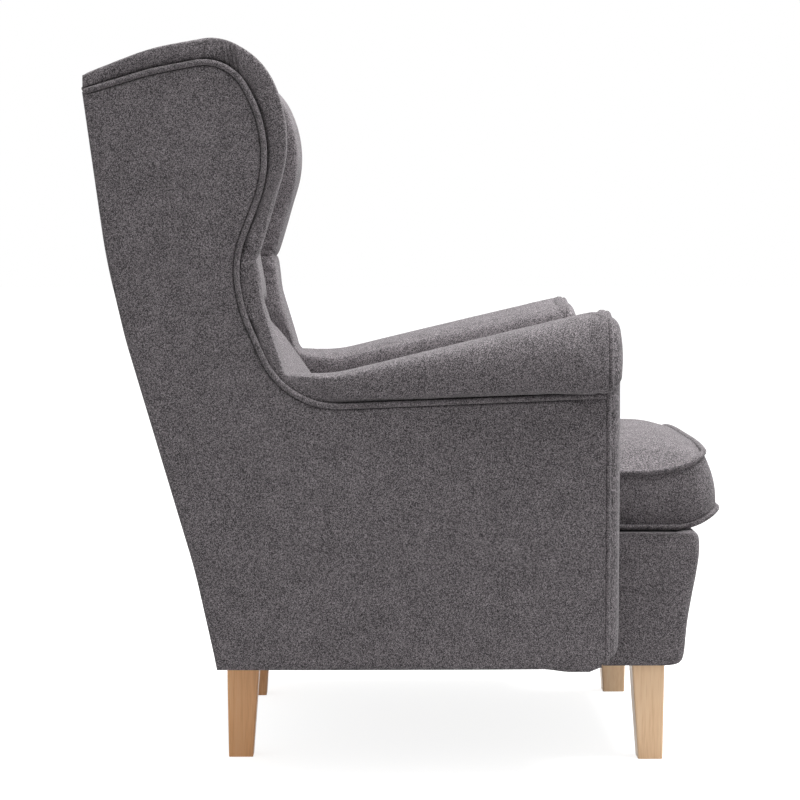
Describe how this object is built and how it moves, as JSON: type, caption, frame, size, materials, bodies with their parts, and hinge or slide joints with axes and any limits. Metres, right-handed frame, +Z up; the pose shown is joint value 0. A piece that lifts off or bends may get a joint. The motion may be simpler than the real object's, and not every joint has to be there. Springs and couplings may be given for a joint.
{
  "type": "bergere chair",
  "caption": "Upholstered wingback armchair with swooping padded arms, welted seams, loose seat cushion and short tapered wooden legs.",
  "frame": {"origin": "on the floor, at the bottom centre of the bounding box", "axes": "+Z up, the chair faces -Y, +X at the sitter's left"},
  "size_m": [0.82, 0.8942, 1.011],
  "materials": {
    "cover_fabric": "melange weave",
    "cushion_fabric": "melange weave",
    "welt_fabric": "melange weave",
    "leg_wood": "clear satin lacquer",
    "frame_wood": "sawn",
    "plywood": "raw",
    "steel": "zinc",
    "felt": "needled felt",
    "webbing": "woven elastic",
    "dust_cloth": "spunbond",
    "foam": "open cell"
  },
  "bodies": {
    "chair": {"apron": "cover_fabric", "arm_front_panel_l": "cover_fabric", "arm_front_panel_r": "cover_fabric", "arm_front_post_l": "frame_wood", "arm_front_post_r": "frame_wood", "arm_front_welt_l": "welt_fabric", "arm_front_welt_r": "welt_fabric", "arm_inner_panel_l": "plywood", "arm_inner_panel_r": "plywood", "arm_pad_l": "cover_fabric", "arm_pad_r": "cover_fabric", "arm_rear_post_l": "frame_wood", "arm_rear_post_r": "frame_wood", "arm_riser_pad_l": "cover_fabric", "arm_riser_pad_r": "cover_fabric", "arm_top_board_l": "plywood", "arm_top_board_r": "plywood", "back_lumbar_rail": "frame_wood", "back_top_pad": "cover_fabric", "back_top_rail": "frame_wood", "back_top_welt": "welt_fabric", "back_webbing": "webbing", "base_rear_rail": "frame_wood", "corner_block_screws": "steel", "corner_blocks": "frame_wood", "deck_felt": "felt", "deck_pad": "felt", "dust_cover": "dust_cloth", "front_leg_l": "leg_wood", "front_leg_r": "leg_wood", "inside_back_pad": "cover_fabric", "leg_bolts": "steel", "leg_inserts": "steel", "lumbar_pad": "cover_fabric", "outside_back_panel": "cover_fabric", "rear_leg_l": "leg_wood", "rear_leg_r": "leg_wood", "seat_front_rail": "frame_wood", "seat_rear_rail": "frame_wood", "seat_side_rail_l": "frame_wood", "seat_side_rail_r": "frame_wood", "seat_springs": "steel", "side_cover_l": "cover_fabric", "side_cover_r": "cover_fabric", "side_frame_l": "plywood", "side_frame_r": "plywood", "side_welt_l": "welt_fabric", "side_welt_r": "welt_fabric", "spring_clips": "steel", "wing_pad_l": "cover_fabric", "wing_pad_r": "cover_fabric"},
    "seat_cushion": {"seat_cushion_cover": "cushion_fabric", "seat_cushion_foam": "foam", "cushion_welt_top": "welt_fabric", "cushion_welt_bottom": "welt_fabric"}
  },
  "joints": [
    {"name": "seat_cushion_lift", "type": "slide", "parent": "chair", "child": "seat_cushion", "axis": [0, 0, 1], "range_m": [0, 0.72]}
  ]
}
